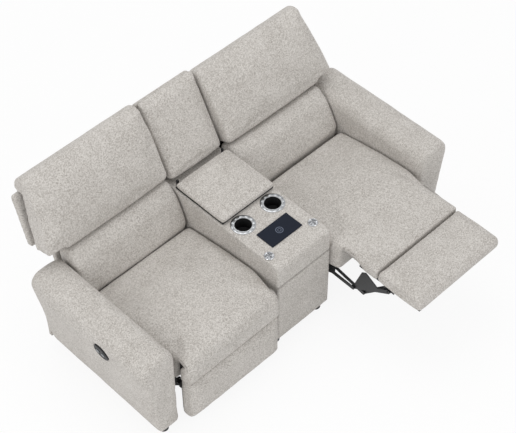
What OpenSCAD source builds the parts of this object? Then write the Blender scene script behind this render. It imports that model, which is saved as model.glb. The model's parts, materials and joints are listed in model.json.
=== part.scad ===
// Reclining loveseat: two power recliner seats with a storage console between them.
// Millimetres, +Z up, the seats face -Y. The left seat stands closed, the right one has
// its footrest out. All Y values below count from the front plane of the arms.

/* [Overall] */
// Clear width of one seat bay
bay_w = 620; // [560:10:680]
// Width of the console between the bays
console_w = 338; // [310:2:380]
// Width of an arm at its pillow top
arm_w = 191; // [180:1:220]
// Width of an arm at its foot
arm_foot_w = 116; // [105:1:135]
// Height of the arm tops
arm_h = 588; // [570:1:610]
// Depth of the arms from front to rear
arm_depth = 770; // [740:5:790]
// Height of the bodywork above the floor
under = 65; // [50:1:80]

/* [Rest pose] */
// Footrest of the left seat at rest, 0 closed and 1 out
left_out = 0; // [0:1:1]
// Footrest of the right seat at rest, 0 closed and 1 out
right_out = 1; // [0:1:1]
// Extra recline of the left back at rest, degrees
left_recline = 0; // [0:1:10]
// Extra recline of the right back at rest, degrees
right_recline = 7; // [0:1:10]
// Lean of an upright back, degrees
lean = 15; // [13:1:17]

/* [Seat] */
// Height of the seat's front edge
seat_h = 478; // [470:1:490]
// Drop of the seat surface from its front edge to the back
seat_slope = 63; // [53:1:73]
// Thickness of the seat cushion at its front edge
seat_thick = 176; // [168:1:178]
// Where the front of the seat stands, ahead of the arms
seat_front = -38; // [-50:1:-30]
// Room behind a seat cushion, up to the rear of the arms
back_room = 170; // [165:5:190]
// Side clearance between a soft piece and its bay
soft_gap = 4; // [3:0.5:6]
// Height of the crown of a seat cushion above its edge
seat_crown = 12; // [4:1:18]

/* [Footrest] */
// Width of the footrest
foot_w = 560; // [540:10:570]
// Length of the upper footrest cushion, from the hinge line to the crease
flap_l = 146; // [140:2:160]
// Length of the lower footrest cushion
pad_l = 263; // [240:1:270]
// Thickness of the footrest cushions
pad_t = 65; // [55:1:66]
// Thickness of the footrest board
board_t = 12; // [9:1:14]

/* [Back] */
// Height of the back cushions along the back, above the recline pivot
back_top = 725; // [712:1:735]
// Where the crease between head and lumbar cushion lies, above the pivot
crease_v = 332; // [322:1:342]
// Front of the back cushions above the seat, ahead of the pivot
back_front = 76; // [72:1:79]
// Rise of the cushions' front towards the rear over their height
back_taper = 0.19; // [0.16:0.01:0.21]
// Rear plane of the back, behind the pivot
back_rear = 152; // [148:1:160]
// How far the back reaches over an arm
wing = 92; // [70:1:100]
// Height above the pivot where the back widens over the arm
wing_v = 360; // [356:1:375]

/* [Console] */
// Height of the console's front panel
console_h = 585; // [575:1:595]
// Where the padded lid starts
lid_front = 363; // [355:1:375]
// Distance of the padded lid from the console's rear
lid_back = 87; // [83:1:95]
// Height of the padded lid's top above the console
lid_h = 39; // [33:1:49]
// Outer diameter of a cup holder's rim
cup_rim_d = 118; // [104:1:122]
// Bore diameter of a cup holder
cup_d = 80; // [70:1:90]
// Depth of a cup holder's bore
cup_depth = 70; // [50:1:80]
// Distance of a cup holder from the console's centre line
cup_x = 94; // [90:1:98]
// Distance of the cup holders behind the front plane
cup_y = 307; // [295:1:311]
// Width of the charging pad
pad_w = 190; // [160:2:200]
// Depth of the charging pad
pad_d = 106; // [90:1:110]
// Distance of the charging pad's centre behind the front plane
charge_y = 168; // [165:1:175]
// Diameter of an accessory socket's cap
cap_d = 48; // [36:1:52]
// Width of the storage bin's inside
bin_w = 250; // [200:5:256]
// Rim of the console's lid in front of the storage bin and behind it
bin_edge = 37.5; // [34.5:0.5:50]
// Depth of the storage bin's inside
bin_depth = 180; // [120:5:220]

/* [Mechanism] */
// Length of a swing link that carries the seat
swing_l = 145; // [130:1:150]
// Swing of a carrying link either side of upright, degrees
swing_tilt = 15; // [10:1:16]
// Thickness of the steel plates and links
plate_t = 4; // [3:0.5:5]
// Width of the lift links
link_w = 22; // [18:1:24]
// Length of the rear lift link
rear_link_l = 190; // [184:1:198]
// Length of the plate from the rear lift link to the footrest
rear_reach_l = 250; // [244:1:256]
// Length of the front lift link
front_link_l = 180; // [175:1:186]
// Length of the link from the front lift link to the footrest
front_reach_l = 200; // [195:1:206]
// Radius of the rivets that the links turn on
rivet_r = 6; // [5:0.5:7]
// Radial clearance of a rivet in its link
rivet_gap = 0.05; // [0.02:0.01:0.08]

/* [Switches] */
// Diameter of a switch bezel on the outer face of an arm
bezel_d = 92; // [80:1:96]
// Travel of a switch button
button_travel = 2; // [1:0.5:3]

/* [Hidden] */
$fn = 48;

// Colours of the finishes
fabric = [0.71, 0.68, 0.64];
steel_black = [0.10, 0.10, 0.11];
zinc = [0.55, 0.56, 0.58];
stainless = [0.78, 0.79, 0.80];
plastic_black = [0.07, 0.07, 0.08];
plywood = [0.72, 0.58, 0.40];

// Left is -1 and right is 1
LEFT = -1;
RIGHT = 1;
seat_x = (console_w + bay_w) / 2;
half_bay = bay_w / 2;
half_console = console_w / 2;
arm_in = half_console + bay_w;
half_seat = half_bay - soft_gap;
face_gap = 0.3;
seat_rear_h = seat_h - seat_slope;
seat_base_h = seat_h - seat_thick;
seat_rear = arm_depth - back_room;
console_rear = arm_depth + 5;
lid_rear = console_rear - lid_back;
lid_top = console_h + lid_h;
bin_l = lid_rear - lid_front - 2 * bin_edge;

// How far out a seat's footrest is at rest, and how far its back is reclined
function out(side) = side == LEFT ? left_out : right_out;
function recline(side) = side == LEFT ? left_recline : right_recline;

// Swing of the carrying links at a given opening, degrees from upright
function swing_at(o) = swing_tilt * (2 * o - 1);
// Movement of the seat at a given opening, counted from closed
function seat_dy(o) = -swing_l * (sin(swing_at(o)) + sin(swing_tilt));
function seat_dz(o) = swing_l * (cos(swing_at(o)) - cos(swing_tilt));

// Hinge line of the footrest on a closed seat
hinge_in = 8;
foot_y = seat_front + hinge_in;
foot_z = seat_h - hinge_in;
foot_reach = flap_l + 2 + pad_l;
foot_turn = 90;

// Recline pivot on a closed seat
back_y = seat_rear + 40;
back_z = seat_base_h + 8;

// Vector helpers in the side plane, as [y, z]
function turn(p, a) = [p[0] * cos(a) - p[1] * sin(a), p[0] * sin(a) + p[1] * cos(a)];
function angle_of(p) = atan2(p[1], p[0]);
// Elbow of two links of lengths a and b between the points p and q
function elbow(p, q, a, b) =
    let (d = norm(q - p), u = (q - p) / d, x = (d * d + a * a - b * b) / (2 * d))
    p + x * u + sqrt(max(a * a - x * x, 0)) * [-u[1], u[0]];
// Points of an arc from angle a0 to a1
function arc(c, r, a0, a1, n) = [for (i = [0:n]) c + r * [cos(a0 + (a1 - a0) * i / n),
    sin(a0 + (a1 - a0) * i / n)]];

// Inner points of a shallow bow from p to q that swells to the left by d
function bow(p, q, d, n = 3) = let (u = (q - p) / norm(q - p)) [for (i = [1:n])
    p + (q - p) * i / (n + 1) + d * sin(180 * i / (n + 1)) * [-u[1], u[0]]];

hinge = [foot_y, foot_z];
// Pivots of the lift links on the seat's side plates, closed
rear_pivot = [150, foot_z - 220];
front_pivot = [85, foot_z - 200];
// Pivots on the footrest's brackets, from the hinge line, closed
rear_eye = [84, -215];
front_eye = [84, -195];
eye_lug = 15;

// Elbows closed and open
function eye_at(eye, o) = hinge + turn(eye, -foot_turn * o);
rear_elbow0 = elbow(rear_pivot, eye_at(rear_eye, 0), rear_link_l, rear_reach_l);
rear_elbow1 = elbow(rear_pivot, eye_at(rear_eye, 1), rear_link_l, rear_reach_l);
front_elbow0 = elbow(front_pivot, eye_at(front_eye, 0), front_link_l, front_reach_l);
front_elbow1 = elbow(front_pivot, eye_at(front_eye, 1), front_link_l, front_reach_l);
// Angle of a link closed, and its whole turn to open, which is clockwise seen from +X
function clockwise(a) = a > 0 ? a - 360 : a;
rear_link_a0 = angle_of(rear_elbow0 - rear_pivot);
rear_link_turn = clockwise(angle_of(rear_elbow1 - rear_pivot) - rear_link_a0);
front_link_a0 = angle_of(front_elbow0 - front_pivot);
front_link_turn = clockwise(angle_of(front_elbow1 - front_pivot) - front_link_a0);
rear_reach_a0 = angle_of(eye_at(rear_eye, 0) - rear_elbow0);
rear_reach_turn = angle_of(eye_at(rear_eye, 1) - rear_elbow1) - rear_reach_a0;
front_reach_a0 = angle_of(eye_at(front_eye, 0) - front_elbow0);
front_reach_turn = angle_of(eye_at(front_eye, 1) - front_elbow1) - front_reach_a0;

// Distances of the steel plates from the centre of a seat, each to the plate's inner face
plane_step = 2 * plate_t;
rail_x = half_bay - plate_t - 2;
swing_x = rail_x - 10;
side_x = swing_x - 10;
rear_link_x = side_x - plane_step;
rear_reach_x = rear_link_x - plane_step;
bracket_x = rear_reach_x - plane_step;
front_reach_x = bracket_x - plane_step;
head_t = 1.5;
pin_gap = 0.3;

// Lower pivots of the carrying links on the rails
swing_front_y = 260;
swing_rear_y = seat_rear - 100;
swing_low_z = seat_base_h - 192;
swing_up_z = swing_low_z + swing_l * cos(swing_tilt);
swing_lead = swing_l * sin(swing_tilt);
swing_r = 7;
rail_front = 200;
rail_rear = seat_rear - 40;

// Whole depth of the model at rest, which centres it on the origin
panel_round = 24;
function back_reach(side) = back_y + seat_dy(out(side))
    + (back_rear - 4) * cos(lean + recline(side)) + (back_top - 34) * sin(lean + recline(side));
function front_reach(side) = foot_y + seat_dy(out(side))
    - max(foot_reach * sin(foot_turn * out(side)), hinge_in);
y_rear = max(back_reach(LEFT), back_reach(RIGHT));
y_front = min(front_reach(LEFT), front_reach(RIGHT));
y_mid = (y_rear + y_front) / 2;

module placed() {
    translate([0, -y_mid, 0]) children();
}

// A seat's own place: closed geometry moved to its opening
module at_seat(side) {
    translate([side * seat_x, seat_dy(out(side)), seat_dz(out(side))]) children();
}

// The footrest turned about its hinge line
module at_footrest(side) {
    at_seat(side) translate([0, foot_y, foot_z]) rotate([-foot_turn * out(side), 0, 0]) children();
}

// The back in its own frame: X across, Y from front to rear, Z along the back
module at_back(side) {
    at_seat(side) translate([0, back_y, back_z]) rotate([-lean - recline(side), 0, 0]) children();
}

// Both sides of a seat, with +X outwards on each
module both_sides() {
    for (m = [0, 1]) mirror([m, 0, 0]) children();
}

// A flat plate drawn in the side plane, from x0 over a thickness
module plate(x0, t) {
    translate([x0, 0, 0]) rotate([90, 0, 90]) linear_extrude(t) children();
}

// A round bar along X
module bar_x(x0, l, r, p) {
    translate([x0, p[0], p[1]]) rotate([0, 90, 0]) cylinder(r = r, h = l);
}

// Outline of a straight link between two points
module link_2d(p, q, w, eye_r, n = 2) {
    a = angle_of(q - p);
    difference() {
        polygon(concat(arc(q, w / 2, a - 90, a + 90, 10), arc(p, w / 2, a + 90, a + 270, 10)));
        translate(p) circle(r = eye_r);
        if (n > 1) translate(q) circle(r = eye_r);
    }
}

// A rivet along X that stands on a plate's inner face and holds the next plate inwards
module rivet(face_x, p, planes, r = rivet_r) {
    reach = planes * plane_step;
    bar_x(face_x - reach - pin_gap, reach + pin_gap, r, p);
    bar_x(face_x - reach - pin_gap - head_t, head_t, r + 4, p);
}

// Closed soft form. The outline [y, z] is carried along X through stations of
// [x, inset, floor], where inset draws the outline in and floor lifts what lies below it.
// The crown raises the side that faces the direction.
function middle(pts, k) = (max([for (p = pts) p[k]]) + min([for (p = pts) p[k]])) / 2;
function reach_of(pts, k) = (max([for (p = pts) p[k]]) - min([for (p = pts) p[k]])) / 2;
squeeze = 0.03;
function lifted(p, floor_v) = p[1] < floor_v ? [p[0], floor_v - (floor_v - p[1]) * squeeze] : p;
module soft(outline, stations, crown, toward) {
    n = len(outline);
    m = len(stations);
    c = [middle(outline, 0), middle(outline, 1)];
    h = [reach_of(outline, 0), reach_of(outline, 1)];
    x_mid = (stations[0][0] + stations[m - 1][0]) / 2;
    x_half = (stations[m - 1][0] - stations[0][0]) / 2;
    rings = [for (s = stations) let (u = (s[0] - x_mid) / x_half) [for (p = outline)
        let (k = [(p[0] - c[0]) * (1 - s[1] / h[0]), (p[1] - c[1]) * (1 - s[1] / h[1])],
            up = max(0, toward[0] * k[0] / h[0] + toward[1] * k[1] / h[1]),
            q = lifted(c + k + toward * (crown * up * (1 - u * u)), s[2]))
        [s[0], q[0], q[1]]]];
    pts = [for (r = rings) for (p = r) p];
    sides = [for (i = [0:m - 2]) for (j = [0:n - 1]) let (a = i * n + j, b = i * n + (j + 1) % n)
        for (t = [[a, a + n, b + n], [a, b + n, b]]) t];
    polyhedron(pts, concat(sides, [[for (j = [0:n - 1]) j]],
        [[for (j = [n - 1:-1:0]) (m - 1) * n + j]]), convexity = 6);
}

// Stations from x0 to x1 with rounded ends
none = -10000;
function end_steps(r) = [[0, r], [r * 0.13, r * 0.5], [r * 0.5, r * 0.13], [r, 0]];
function stations(x0, x1, r) = concat(
    [for (e = end_steps(r)) [x0 + e[0], e[1], none]],
    [for (t = [0.3, 0.5, 0.7]) [x0 + (x1 - x0) * t, 0, none]],
    [for (i = [3:-1:0]) [x1 - end_steps(r)[i][0], end_steps(r)[i][1], none]]);
// Stations of a back cushion on the right seat, widened over the arm above wing_v
function wing_stations(r) = concat(
    [for (e = end_steps(r)) [-half_seat + e[0], e[1], none]],
    [for (t = [0.35, 0.65]) [-half_seat + 2 * half_seat * t, 0, none]],
    [[half_seat - 12, 0, none], [half_seat, 0, none]],
    [[half_seat + 2, 0, wing_v]],
    [for (i = [3:-1:0]) [half_seat + wing + soft_gap - end_steps(r / 2)[i][0],
        end_steps(r / 2)[i][1], wing_v]]);

// Arms

arm_round = 60;
arm_pad = 26;
arm_side_a = atan((arm_w - arm_foot_w) / (arm_h - arm_round - under));
// Section of an arm: X from the bay outwards, Z up
arm_section = concat(
    [[0, under]], bow([0, under], [0, arm_h - arm_round], -1, 1),
    arc([arm_round, arm_h - arm_round], arm_round, 180, 90, 4),
    arc([arm_w - arm_round, arm_h - arm_round], arm_round, 90, 0, 4),
    [[arm_w - (arm_w - arm_foot_w) * 0.45, (under + arm_h) / 2], [arm_foot_w, under]]);
arm_wall = 14;
frame_top = 430;

// Centre of a switch on the right arm's outer face
switch_y = 289;
switch_z = 469;
switch_x = arm_in + arm_w - (arm_h - arm_round - switch_z) * tan(arm_side_a);
bezel_sink = 22;
module at_switch(side) {
    translate([side * switch_x, switch_y, switch_z])
        rotate([0, side * (90 + arm_side_a), 0]) children();
}

module arm_cover(side) {
    color(fabric) difference() {
        scale_side(side) translate([arm_in, 0, 0]) rotate([0, 0, 90]) mirror([0, 1, 0])
            soft(arm_section, stations(0, arm_depth, arm_pad), 0, [0, 1]);
        scale_side(side) translate([arm_in + arm_wall, 40, under - 1])
            cube([arm_foot_w - 2 * arm_wall - 6, arm_depth - 80, frame_top - under + 1]);
        at_switch(side) translate([0, 0, -bezel_sink]) cylinder(d = bezel_d, h = 60);
    }
}

// Right-hand geometry, mirrored for the left side
module scale_side(side) {
    mirror([side == LEFT ? 1 : 0, 0, 0]) children();
}

module left_arm_cover() arm_cover(LEFT);
module right_arm_cover() arm_cover(RIGHT);

// Plywood box frames inside the arms
ply = 18;
module arm_frames() {
    w = arm_foot_w - 2 * arm_wall - 6;
    color(plywood) both_sides() translate([arm_in + arm_wall, 40, under]) difference() {
        cube([w, arm_depth - 80, frame_top - under]);
        translate([ply, ply, 40]) cube([w - 2 * ply, arm_depth - 80 - 2 * ply, frame_top]);
    }
}

// Switches on the outer faces of the arms

button_r = 11;
button_step = 17;
button_gap = 0.4;
button_h = 14;
bezel_rim = 3;
module bezel(side) {
    at_switch(side) difference() {
        union() {
            translate([0, 0, -bezel_sink]) cylinder(d = bezel_d, h = bezel_sink + 1);
            cylinder(d1 = bezel_d, d2 = bezel_d - 8, h = bezel_rim, $fn = 64);
        }
        for (k = [-1, 1]) translate([0, k * button_step, -bezel_sink + 4])
            cylinder(r = button_r + button_gap, h = 60);
        translate([0, 0, bezel_rim - 1]) cylinder(d = bezel_d - 24, h = 5);
    }
}
module switch_bezels() {
    color(plastic_black) {
        bezel(LEFT);
        bezel(RIGHT);
    }
}
module button(side, k) {
    color(zinc) at_switch(side) translate([0, k * button_step, bezel_rim - button_h + 2])
        cylinder(r = button_r, h = button_h);
}
module left_open_button() button(LEFT, -1);
module left_close_button() button(LEFT, 1);
module right_open_button() button(RIGHT, -1);
module right_close_button() button(RIGHT, 1);

// Console

console_front = 6;
console_wall = 18;
console_round = 24;
console_floor = 300;
bin_wall = 3;
bin_flange = 2;
bin_y = (lid_front + lid_rear) / 2;
top_wall = 22;
lid_board_t = 8;
lid_z = console_h + bin_flange + face_gap;

// Side outline of the console with its rounded front top edge
module console_side(in) {
    difference() {
        translate([console_front + in, under - (in > 0 ? 1 : 0)])
            square([console_rear - console_front - 2 * in, console_h - under - (in > 0 ? top_wall - 1 : 0)]);
        if (in == 0) translate([console_front, console_h - console_round]) difference() {
            square([console_round + 0.001, console_round + 1]);
            translate([console_round, 0]) circle(r = console_round);
        }
    }
}
module console_cover() {
    color(fabric) difference() {
        plate(-half_console, console_w) console_side(0);
        plate(-half_console + console_wall, console_w - 2 * console_wall) console_side(console_wall);
        translate([-bin_w / 2 - bin_wall - face_gap, bin_y - bin_l / 2 - bin_wall - face_gap, console_floor])
            cube([bin_w + 2 * (bin_wall + face_gap), bin_l + 2 * (bin_wall + face_gap), console_h]);
        for (s = [-1, 1]) {
            translate([s * cup_x, cup_y, console_floor])
                cylinder(d = cup_d + 2 * cup_wall, h = console_h);
            translate([s * cap_x, cap_y, console_floor]) cylinder(d = cap_stem_d, h = console_h);
        }
        translate([-pad_w / 2 + 8, charge_y - pad_d / 2 + 8, console_floor])
            cube([pad_w - 16, pad_d - 16, console_h]);
    }
}

module storage_bin() {
    color(plastic_black) translate([0, bin_y, 0]) difference() {
        union() {
            translate([-bin_w / 2 - bin_wall, -bin_l / 2 - bin_wall, console_h - bin_depth - bin_wall])
                cube([bin_w + 2 * bin_wall, bin_l + 2 * bin_wall, bin_depth + bin_wall]);
            translate([-bin_w / 2 - 16, -bin_l / 2 - 16, console_h])
                cube([bin_w + 32, bin_l + 32, bin_flange]);
        }
        translate([-bin_w / 2, -bin_l / 2, console_h - bin_depth]) cube([bin_w, bin_l, bin_depth + 2 * bin_flange]);
    }
}

// Cup holders with a stainless rim and a dark well
cup_wall = 2;
cup_rim_h = 3;
module cup_holders() {
    color(stainless) for (s = [-1, 1]) translate([s * cup_x, cup_y, console_h]) difference() {
        union() {
            translate([0, 0, -cup_depth - cup_wall + cup_rim_h])
                cylinder(d = cup_d + 2 * cup_wall, h = cup_depth + cup_wall);
            cylinder(d1 = cup_rim_d, d2 = cup_rim_d - 4, h = cup_rim_h, $fn = 64);
        }
        translate([0, 0, cup_rim_h - cup_depth]) cylinder(d = cup_d, h = cup_depth + 10);
    }
}

// Wireless charging pad between the cup holders and the front edge
pad_rim_h = 4;
pad_rim_w = 12;
module charging_pad_frame() {
    color(plastic_black) translate([0, charge_y, 0]) difference() {
        union() {
            translate([-pad_w / 2, -pad_d / 2, console_h]) cube([pad_w, pad_d, pad_rim_h]);
            translate([-pad_w / 2 + 8, -pad_d / 2 + 8, console_h - 18])
                cube([pad_w - 16, pad_d - 16, 19]);
        }
        translate([-pad_w / 2 + pad_rim_w, -pad_d / 2 + pad_rim_w, console_h - 14])
            cube([pad_w - 2 * pad_rim_w, pad_d - 2 * pad_rim_w, 40]);
    }
}
module charging_pad() {
    color([0.13, 0.14, 0.16])
        translate([-pad_w / 2 + pad_rim_w, charge_y - pad_d / 2 + pad_rim_w, console_h - 14])
        cube([pad_w - 2 * pad_rim_w, pad_d - 2 * pad_rim_w, 14 + pad_rim_h - 2]);
}

// Domed caps over the accessory sockets near the console's front corners
cap_x = half_console - 29;
cap_y = 93;
cap_stem_d = 30;
module accessory_caps() {
    color(stainless) for (s = [-1, 1]) translate([s * cap_x, cap_y, console_h]) {
        rotate_extrude() polygon(concat([[0, 0], [cap_d / 2, 0]],
            arc([cap_d / 2 - 4, 1], 4, 0, 80, 4), [[0, 7]]));
        translate([0, 0, -30]) cylinder(d = cap_stem_d, h = 30);
    }
}

// Padded lid with its board and hinge

hinge_y = lid_rear + 6;
hinge_z = lid_top - 4;
hinge_pin_r = 4;
hinge_plate_t = 4;
hinge_x = half_console - 26;
module lid_hinge_brackets() {
    color(steel_black) both_sides() {
        plate(hinge_x, hinge_plate_t) difference() {
            union() {
                translate([hinge_y - 6, console_h]) square([12, hinge_z - console_h]);
                translate([hinge_y, hinge_z]) circle(r = 6);
            }
            translate([hinge_y, hinge_z]) circle(r = hinge_pin_r + rivet_gap);
        }
    }
}
module lid_board() {
    color(plastic_black) {
        translate([-half_console + 8, lid_front + 8, lid_z])
            cube([console_w - 16, lid_rear - lid_front - 8, lid_board_t]);
        both_sides() {
            plate(hinge_x - hinge_plate_t - 0.5, hinge_plate_t) union() {
                translate([lid_rear - lid_lap, lid_z]) square([10 + lid_lap, hinge_z - lid_z]);
                translate([hinge_y, hinge_z]) circle(r = 5.5);
            }
            bar_x(hinge_x - 1, hinge_plate_t + 2, hinge_pin_r, [hinge_y, hinge_z]);
        }
    }
}
lid_lap = 1;
lid_outline = let (z0 = lid_z + lid_board_t, y0 = lid_front, y1 = lid_rear - lid_lap - face_gap) concat(
    [[y1, z0], [y1, lid_top - 8], [y1 - 6, lid_top]],
    bow([y1 - 6, lid_top], [y0 + 14, lid_top], -1.5),
    arc([y0 + 14, lid_top - 14], 14, 90, 180, 4),
    [[y0 + 1, z0 + 4], [y0 + 5, z0]],
    bow([y0 + 5, z0], [y1, z0], face_gap));
module lid_cushion() {
    color(fabric) soft(lid_outline, stations(-half_console + 2, half_console - 2, 12), 5, [0, 1]);
}

// Middle back over the console

mid_front = -12;
mid_bottom = 304;
mid_top = 716;
mid_rear = 112;
mid_gap = 3;
// The middle back leans like the others, from an origin that keeps to the console
mid_y = console_rear - 135;
mid_z = console_h - 275;
module at_middle_back() {
    translate([0, mid_y, mid_z]) rotate([-lean, 0, 0]) children();
}
mid_outline = concat(
    [[mid_rear, mid_bottom + 14], [mid_rear, mid_top - 30], [mid_rear - 8, mid_top - 6]],
    arc([mid_front + back_taper * (mid_top - mid_bottom) + 36, mid_top - 34], 34, 90, 180, 5),
    bow([mid_front + back_taper * (mid_top - mid_bottom), mid_top - 34], [mid_front, mid_bottom + 26], -4, 4),
    arc([mid_front + 24, mid_bottom + 24], 24, 180, 270, 3),
    [[mid_rear - 30, mid_bottom + 2]]);
module middle_back_cushion() {
    color(fabric) at_middle_back()
        soft(mid_outline, stations(-half_console + mid_gap, half_console - mid_gap, 18), 10, [-1, 0]);
}
panel_bottom = -60;
module middle_back_panel() {
    a = mid_rear + face_gap;
    b = back_rear - 6;
    low = mid_bottom - 175;
    r = panel_round;
    foot_t = 26;
    foot_z = 156;
    color(fabric) plate(-half_console + mid_gap, console_w - 2 * mid_gap) polygon(concat(
        [[console_rear, foot_z], [console_rear + foot_t, foot_z], [console_rear + foot_t, console_h - 187]],
        [for (p = concat([[b, low]], arc([b - r, mid_top + 4 - r], r, 0, 90, 8), [[a, mid_top + 4], [a, low + 77]]))
            leaning(p)],
        [[console_rear, console_h - 105]]));
}
// Place of a point of the middle back's section behind the console
function leaning(p) =
    [mid_y + p[0] * cos(lean) + p[1] * sin(lean), mid_z - p[0] * sin(lean) + p[1] * cos(lean)];

// Section of a back panel: thickness from a to b, height from v0 to v1, rounded rear top
module panel_2d(a, b, v0, v1) {
    r = panel_round;
    polygon(concat([[a, v0], [b, v0]], arc([b - r, v1 - r], r, 0, 90, 8), [[a, v1]]));
}

// Base

rail_board_h = 90;
module rear_rail() {
    half_w = arm_in + arm_foot_w;
    color(plywood) translate([-half_w, console_rear, under]) cube([2 * half_w, ply, rail_board_h]);
}

tube_r = 12;
module cross_tubes() {
    color(steel_black) for (s = [LEFT, RIGHT])
        bar_x(s * seat_x - rail_x, 2 * rail_x, tube_r, [rail_rear - tube_r - 3, swing_low_z]);
}

foot_r = 24;
module feet() {
    color(plastic_black) both_sides() {
        for (y = [60, arm_depth - 70]) translate([arm_in + arm_foot_w / 2, y, 0])
            cylinder(r = foot_r, h = under);
        for (y = [60, console_rear - 60]) translate([half_console - foot_r - 6, y, 0])
            cylinder(r = foot_r, h = under);
    }
}

module mechanism_rails() {
    color(steel_black) for (s = [LEFT, RIGHT]) translate([s * seat_x, 0, 0]) both_sides() {
        plate(rail_x, half_bay - rail_x) translate([rail_front, swing_low_z - 25])
            square([rail_rear - rail_front, 50]);
        for (y = [swing_front_y, swing_rear_y]) {
            bar_x(swing_x - pin_gap, rail_x - swing_x + pin_gap, swing_r, [y, swing_low_z]);
            bar_x(swing_x - pin_gap - head_t, head_t, swing_r + 4, [y, swing_low_z]);
        }
    }
}

module power_inlet() {
    color(plastic_black) translate([-arm_in + 60, console_rear + ply, under + rail_board_h / 2]) {
        translate([-24, 0, -14]) difference() {
            cube([48, 6, 28]);
            translate([6, 2, 6]) cube([36, 10, 16]);
        }
    }
}

// Seat

lip_t = 19;
lip_front = foot_y - 4;
seat_face = foot_y + pad_t - hinge_in + board_t + 5;
seat_outline = concat(
    [[seat_rear, seat_base_h], [seat_rear, seat_rear_h - 20], [seat_rear - 12, seat_rear_h]],
    [for (t = [0.25, 0.5, 0.75, 0.9]) [seat_rear - 12 + (80 - seat_rear + 12) * t,
        seat_rear_h + (seat_h - seat_rear_h) * sin(90 * t)]],
    [[40, seat_h + 1]],
    arc([lip_front + 8, seat_h - 8], 8, 90, 180, 3),
    [[lip_front + 1, seat_h - lip_t + 2], [lip_front + 8, seat_h - lip_t],
        [seat_face, seat_h - lip_t - 2], [seat_face + 1, (seat_base_h + seat_h) / 2 + 10], [seat_face, seat_base_h]],
    bow([seat_face, seat_base_h], [seat_rear, seat_base_h], 1));
module seat_cushion(side) {
    color(fabric) at_seat(side)
        soft(seat_outline, stations(-half_seat, half_seat, 14), seat_crown, [0, 1]);
}

deck_t = 14;
deck_rail = 20;
deck_z = seat_base_h - 2 - deck_t;
deck_front = foot_y + front_eye[0] + eye_lug + 3;
spring_r = 2;
// Steel seat frame with its spring wires
module seat_deck(side) {
    l = seat_rear - deck_front;
    color(steel_black) at_seat(side) {
        difference() {
            translate([-side_x, deck_front, deck_z]) cube([2 * side_x, l, deck_t]);
            translate([-side_x + deck_rail, deck_front + deck_rail, deck_z - 1])
                cube([2 * (side_x - deck_rail), l - 2 * deck_rail, deck_t + 2]);
        }
        for (i = [-3:3]) translate([i * 70, deck_front + deck_rail / 2, deck_z + deck_t])
            rotate([-90, 0, 0]) cylinder(r = spring_r, h = l - deck_rail, $fn = 16);
    }
}

plate_rear = back_y + 16;
// Cross bar between the side plates, which carries the drive
motor_bar = [swing_rear_y - 60, swing_up_z - 3];
motor_bar_r = 11;
module side_plates(side) {
    color(steel_black) at_seat(side) {
        both_sides() {
            plate(side_x, plate_t) difference() {
                union() {
                    polygon([[front_pivot[0] - 18, front_pivot[1] - 12],
                        [rear_pivot[0] - 20, rear_pivot[1] - 20],
                        [plate_rear - 70, rear_pivot[1] - 20], [plate_rear, back_z - 14],
                        [plate_rear, back_z + 16], [plate_rear - 32, back_z + 16],
                        [plate_rear - 56, seat_base_h - 2], [front_pivot[0] - 18, seat_base_h - 2]]);
                }
                translate([back_y, back_z]) circle(r = pivot_r + rivet_gap);
            }
            rivet(side_x, rear_pivot, 1);
            rivet(side_x, front_pivot, 3);
            for (y = [swing_front_y, swing_rear_y]) {
                bar_x(side_x, swing_x + plate_t - side_x + pin_gap, swing_r, [y + swing_lead, swing_up_z]);
                bar_x(swing_x + plate_t + pin_gap, head_t, swing_r + 4, [y + swing_lead, swing_up_z]);
            }
        }
        bar_x(-side_x, 2 * side_x, motor_bar_r, motor_bar);
    }
}

// Carrying links, from a rail's pin to a side plate's pin
swing_w = 28;
module swing_links(side, y) {
    low = [y, swing_low_z];
    up = low + turn([0, swing_l], swing_at(out(side)));
    color(steel_black) translate([side * seat_x, 0, 0]) both_sides()
        plate(swing_x, plate_t) link_2d(low, up, swing_w, swing_r + rivet_gap);
}

// Footrest

flap_top = 14;
flap_side = 12;
flap_outline = let (a0 = -hinge_in, a1 = pad_t - hinge_in) concat(
    [[a1, -flap_l + 2]], bow([a1, -flap_l + 2], [a1, -flap_top - 6], face_gap, 1),
    [[a1, -flap_top - 6], [a1 - 10, -flap_top]],
    arc([a0 + 12, -flap_top - 12], 12, 90, 180, 3),
    bow([a0, -flap_top - 12], [a0, -flap_l + 14], -2),
    arc([a0 + 14, -flap_l + 14], 14, 180, 270, 3));
module flap_cushion(side) {
    color(fabric) at_footrest(side)
        soft(flap_outline, stations(-foot_w / 2, foot_w / 2, flap_side), 0, [-1, 0]);
}
pad_end = foot_reach;
pad_outline = let (a0 = -hinge_in, a1 = pad_t - hinge_in, b0 = -flap_l - 2) concat(
    [[a1, -pad_end + 12]], bow([a1, -pad_end + 12], [a1, b0 - 2], face_gap, 1),
    [[a1, b0 - 2], [a1 - 12, b0]],
    arc([a0 + 16, b0 - 16], 16, 90, 180, 3),
    bow([a0, b0 - 16], [a0, -pad_end + 28], -3, 4),
    arc([a0 + 28, -pad_end + 28], 28, 180, 270, 4), [[a1 - 10, -pad_end]]);
module footrest_cushion(side) {
    color(fabric) at_footrest(side)
        soft(pad_outline, stations(-foot_w / 2, foot_w / 2, 16), 0, [-1, 0]);
}

board_inset = 14;
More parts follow.
